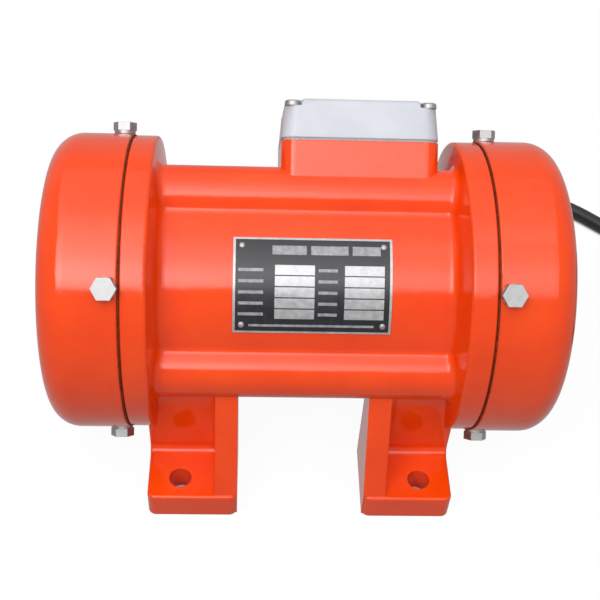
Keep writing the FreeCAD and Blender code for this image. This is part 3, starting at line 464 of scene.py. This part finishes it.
where = place_on(tree)
split = tree.nodes.new("ShaderNodeSeparateXYZ")
tree.links.new(where, split.inputs["Vector"])
across = spread(tree, split.outputs["X"], 0.0, 1.0, plate_low.x, plate_high.x)
turned = worked(tree, "ARCTAN2", worked(tree, "SUBTRACT", split.outputs["Z"], shaft_height),
                worked(tree, "MULTIPLY", split.outputs["Y"], -1.0))
down = spread(tree, turned, 0.0, 1.0, plate_top, plate_bottom)

# Shares of the plate's width and height, from its left and its top.
cell_rows = 5
rows_down = (0.285, 0.845)
cell_in_row = (0.05, 0.95)
cells_across = ((0.262, 0.512), (0.700, 0.950))
label_in_row = (0.38, 0.66)
labels_across = ((0.034, 0.190), (0.535, 0.655))
titles_down = (0.090, 0.185)
titles_across = ((0.245, 0.460), (0.488, 0.722), (0.748, 0.925))
foot_rule_down = (0.900, 0.925)
foot_rule_across = (0.100, 0.890)
print_across = (0.016, 0.984)
print_down = (0.026, 0.974)

first_row, last_row = rows_down
row_pitch = (last_row - first_row) / cell_rows
row_count = worked(tree, "DIVIDE", worked(tree, "SUBTRACT", down, first_row), row_pitch)
in_row = worked(tree, "MULTIPLY", worked(tree, "FRACT", row_count), within(tree, down, *rows_down))
cells = worked(tree, "MULTIPLY", within(tree, in_row, *cell_in_row),
               in_spans(tree, across, cells_across))
labels = worked(tree, "MULTIPLY", within(tree, in_row, *label_in_row),
                in_spans(tree, across, labels_across))
titles = worked(tree, "MULTIPLY", within(tree, down, *titles_down),
                in_spans(tree, across, titles_across))
foot_rule = worked(tree, "MULTIPLY", within(tree, down, *foot_rule_down),
                   within(tree, across, *foot_rule_across))
margin = worked(tree, "SUBTRACT", 1.0, worked(
    tree, "MULTIPLY", within(tree, across, *print_across), within(tree, down, *print_down)))
marks = any_of(tree, labels, titles, foot_rule)
bare = any_of(tree, margin, cells)
wear = mottle(tree, where, 400.0, detail=4.0)
ink = tinted(tree, wear, (0.004, 0.004, 0.006), (0.011, 0.012, 0.017))
metal = tinted(tree, wear, (0.38, 0.38, 0.39), (0.52, 0.52, 0.53))
faded = tinted(tree, wear, (0.20, 0.20, 0.22), (0.38, 0.38, 0.41))


def over(tree, share, under, upper):
    """The upper colour laid over the one under it, where share is 1."""
    mix = tree.nodes.new("ShaderNodeMix")
    mix.data_type = "RGBA"
    for socket, value in ((mix.inputs[0], share), (mix.inputs[6], under), (mix.inputs[7], upper)):
        tree.links.new(value, socket)
    return mix.outputs[2]


tree.links.new(over(tree, bare, over(tree, marks, ink, faded), metal), shader.inputs["Base Color"])
tree.links.new(worked(tree, "MULTIPLY", bare, 0.5), shader.inputs["Metallic"])
tree.links.new(spread(tree, wear, 0.30, 0.44), shader.inputs["Roughness"])
tree.links.new(raised(tree, bare, 0.00008,
                      raised(tree, wear, 0.00003, softened(tree, 0.0002))), shader.inputs["Normal"])
shader.inputs["Coat Weight"].default_value = 0.2
shader.inputs["Coat Roughness"].default_value = 0.2
paint_on(plate_metal, "nameplate")

# ---------------------------------------------------------------- terminal block and its wiring
# A black thermoset block carries two rows of brass studs with brass links between them. The motor's
# leads and the supply's cores come to the studs, and the earth core goes to its own screw.

thermoset, tree, shader = new_finish("black_thermoset")
where = place_on(tree)
swirl = mottle(tree, where, 160.0, detail=4.0)
tree.links.new(tinted(tree, swirl, (0.014, 0.013, 0.012), (0.034, 0.031, 0.029)),
               shader.inputs["Base Color"])
tree.links.new(spread(tree, swirl, 0.20, 0.34), shader.inputs["Roughness"])
tree.links.new(raised(tree, mottle(tree, where, 1400.0), 0.00003, softened(tree, 0.0003)),
               shader.inputs["Normal"])
paint_on(thermoset, "terminal_block")

brass, tree, shader = new_finish("plain_brass")
where = place_on(tree)
tarnish = mottle(tree, where, 220.0, detail=4.0)
tree.links.new(tinted(tree, tarnish, (0.52, 0.34, 0.12), (0.82, 0.62, 0.27)),
               shader.inputs["Base Color"])
tree.links.new(spread(tree, tarnish, 0.22, 0.40), shader.inputs["Roughness"])
tree.links.new(raised(tree, mottle(tree, where, 2600.0, detail=2.0), 0.00002, softened(tree, 0.0002)),
               shader.inputs["Normal"])
shader.inputs["Metallic"].default_value = 1.0
paint_on(brass, "terminal_studs", "terminal_links", "core_ferrules")


def insulation(name, direction, low, high, colours):
    """Extruded core insulation, one colour for each core, side by side between low and high."""
    material, tree, shader = new_finish(name)
    where = place_on(tree)
    split = tree.nodes.new("ShaderNodeSeparateXYZ")
    tree.links.new(where, split.inputs["Vector"])
    side = spread(tree, split.outputs[direction], 0.0, 1.0, low, high)
    stops = [(index / len(colours), colour) for index, colour in enumerate(colours)]
    gloss = mottle(tree, where, 300.0)
    tree.links.new(shades(tree, side, *stops, steps=True), shader.inputs["Base Color"])
    tree.links.new(spread(tree, gloss, 0.30, 0.45), shader.inputs["Roughness"])
    tree.links.new(raised(tree, gloss, 0.00006), shader.inputs["Normal"])
    return material


core_brown = (0.12, 0.045, 0.016)
core_black = (0.014, 0.014, 0.015)
core_grey = (0.25, 0.26, 0.27)
core_green = (0.05, 0.24, 0.045)
for wiring, colours in (("cable_cores", (core_brown, core_black, core_grey, core_green)),
                        ("supply_cores", (core_green, core_brown, core_black, core_grey)),
                        ("motor_leads", (core_brown, core_grey, core_black))):
    low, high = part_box(wiring)
    paint_on(insulation(wiring + "_insulation", "X", low.x, high.x, colours), wiring)

# ---------------------------------------------------------------- stator
# Stamped silicon-steel plates are stacked and pressed into the body's bore, and wound with enamelled
# copper wire that is laced and dipped in amber varnish.

plates, tree, shader = new_finish("stacked_plates")
where = place_on(tree)
layers = tree.nodes.new("ShaderNodeTexWave")
layers.bands_direction = "X"
layers.inputs["Scale"].default_value = 320.0
layers.inputs["Distortion"].default_value = 0.3
tree.links.new(where, layers.inputs["Vector"])
oxide = mottle(tree, where, 90.0, detail=5.0)
tree.links.new(tinted(tree, oxide, (0.13, 0.13, 0.145), (0.30, 0.30, 0.31)),
               shader.inputs["Base Color"])
tree.links.new(spread(tree, oxide, 0.34, 0.52), shader.inputs["Roughness"])
tree.links.new(raised(tree, layers.outputs["Fac"], 0.00008), shader.inputs["Normal"])
shader.inputs["Metallic"].default_value = 0.9
paint_on(plates, "stator_core", "rotor_core")

copper, tree, shader = new_finish("varnished_copper")
where = place_on(tree)
strands = tree.nodes.new("ShaderNodeTexWave")
strands.wave_type = "RINGS"
strands.rings_direction = "X"
strands.inputs["Scale"].default_value = 330.0
strands.inputs["Distortion"].default_value = 2.5
strands.inputs["Detail"].default_value = 2.0
tree.links.new(where, strands.inputs["Vector"])
varnish = mottle(tree, where, 110.0, detail=4.0)
tree.links.new(tinted(tree, varnish, (0.30, 0.085, 0.025), (0.55, 0.20, 0.065)),
               shader.inputs["Base Color"])
tree.links.new(spread(tree, strands.outputs["Fac"], 0.22, 0.40, 0.0, 1.0), shader.inputs["Roughness"])
tree.links.new(raised(tree, strands.outputs["Fac"], 0.0004), shader.inputs["Normal"])
shader.inputs["Metallic"].default_value = 0.85
shader.inputs["Coat Weight"].default_value = 0.7
shader.inputs["Coat Roughness"].default_value = 0.15
paint_on(copper, "stator_winding")

# ---------------------------------------------------------------- shaft, sleeves and bearings
# Turned and ground steel, with fine marks round the shaft from the lathe. The bearings' rings and
# balls are polished harder than the rest.


def turned_steel(name, dark, light, smooth, rough, marks):
    """Bright steel with turning marks round the shaft, so many metres deep."""
    material, tree, shader = new_finish(name)
    where = place_on(tree)
    lathe = tree.nodes.new("ShaderNodeTexWave")
    lathe.bands_direction = "X"
    lathe.inputs["Scale"].default_value = 900.0
    lathe.inputs["Distortion"].default_value = 0.8
    lathe.inputs["Detail"].default_value = 2.0
    tree.links.new(where, lathe.inputs["Vector"])
    oil = mottle(tree, where, 80.0, detail=3.0)
    tree.links.new(tinted(tree, oil, dark, light), shader.inputs["Base Color"])
    tree.links.new(spread(tree, oil, smooth, rough), shader.inputs["Roughness"])
    tree.links.new(raised(tree, lathe.outputs["Fac"], marks, softened(tree, 0.0003)),
                   shader.inputs["Normal"])
    shader.inputs["Metallic"].default_value = 1.0
    return material


shaft_steel = turned_steel("turned_shaft_steel", (0.42, 0.42, 0.43), (0.60, 0.60, 0.61),
                           0.20, 0.34, 0.00002)
ring_steel = turned_steel("ground_ring_steel", (0.55, 0.55, 0.56), (0.74, 0.74, 0.75),
                          0.10, 0.20, 0.000005)
paint_on(shaft_steel, "rotor_shaft", *both("spacer_sleeve"), *both("shaft_key"))
paint_on(ring_steel, *both("bearing_outer_ring"), *both("bearing_inner_ring"), *both("bearing_balls"))
paint_on(brass, *both("bearing_cage"))

# ---------------------------------------------------------------- bearing shields and rotor end rings
# Cast in aluminium alloy, machined where they fit, and left bare with a fine matt grain.

cast_metal, tree, shader = new_finish("bare_cast_aluminium")
where = place_on(tree)
grain = mottle(tree, where, 700.0, detail=5.0, roughness=0.7)
stain = mottle(tree, where, 40.0, detail=3.0)
tree.links.new(tinted(tree, stain, (0.50, 0.51, 0.52), (0.68, 0.69, 0.70)),
               shader.inputs["Base Color"])
tree.links.new(spread(tree, grain, 0.42, 0.60), shader.inputs["Roughness"])
tree.links.new(raised(tree, grain, 0.00012, softened(tree, 0.0004)), shader.inputs["Normal"])
shader.inputs["Metallic"].default_value = 0.95
paint_on(cast_metal, *both("bearing_shield"), "rotor_end_rings")

# ---------------------------------------------------------------- eccentric weights
# Half-round weights cut from thick steel plate, with mill scale left on their faces and a rub of oil
# against rust. Blackened screws clamp the outer ones, and blackened rings hold the set on the shaft.

scale_steel, tree, shader = new_finish("mill_scale_steel")
where = place_on(tree)
scale_patches = mottle(tree, where, 55.0, detail=6.0, roughness=0.65)
pits = mottle(tree, where, 520.0, detail=4.0)
tree.links.new(shades(tree, scale_patches, (0.30, (0.090, 0.088, 0.092)), (0.52, (0.19, 0.185, 0.18)),
                      (0.70, (0.30, 0.27, 0.245))), shader.inputs["Base Color"])
tree.links.new(spread(tree, scale_patches, 0.36, 0.58), shader.inputs["Roughness"])
tree.links.new(raised(tree, pits, 0.0001, softened(tree, 0.0005)), shader.inputs["Normal"])
shader.inputs["Metallic"].default_value = 0.9
paint_on(scale_steel, *both("fixed_weight"), *both("adjustable_weight"))

black_steel, tree, shader = new_finish("blackened_steel")
where = place_on(tree)
oxide = mottle(tree, where, 300.0, detail=4.0)
tree.links.new(tinted(tree, oxide, (0.030, 0.030, 0.034), (0.085, 0.085, 0.090)),
               shader.inputs["Base Color"])
tree.links.new(spread(tree, oxide, 0.28, 0.44), shader.inputs["Roughness"])
tree.links.new(raised(tree, oxide, 0.00003, softened(tree, 0.0003)), shader.inputs["Normal"])
shader.inputs["Metallic"].default_value = 0.9
paint_on(black_steel, *both("clamp_screw"), *both("retaining_ring"), *both("shield_screws"))
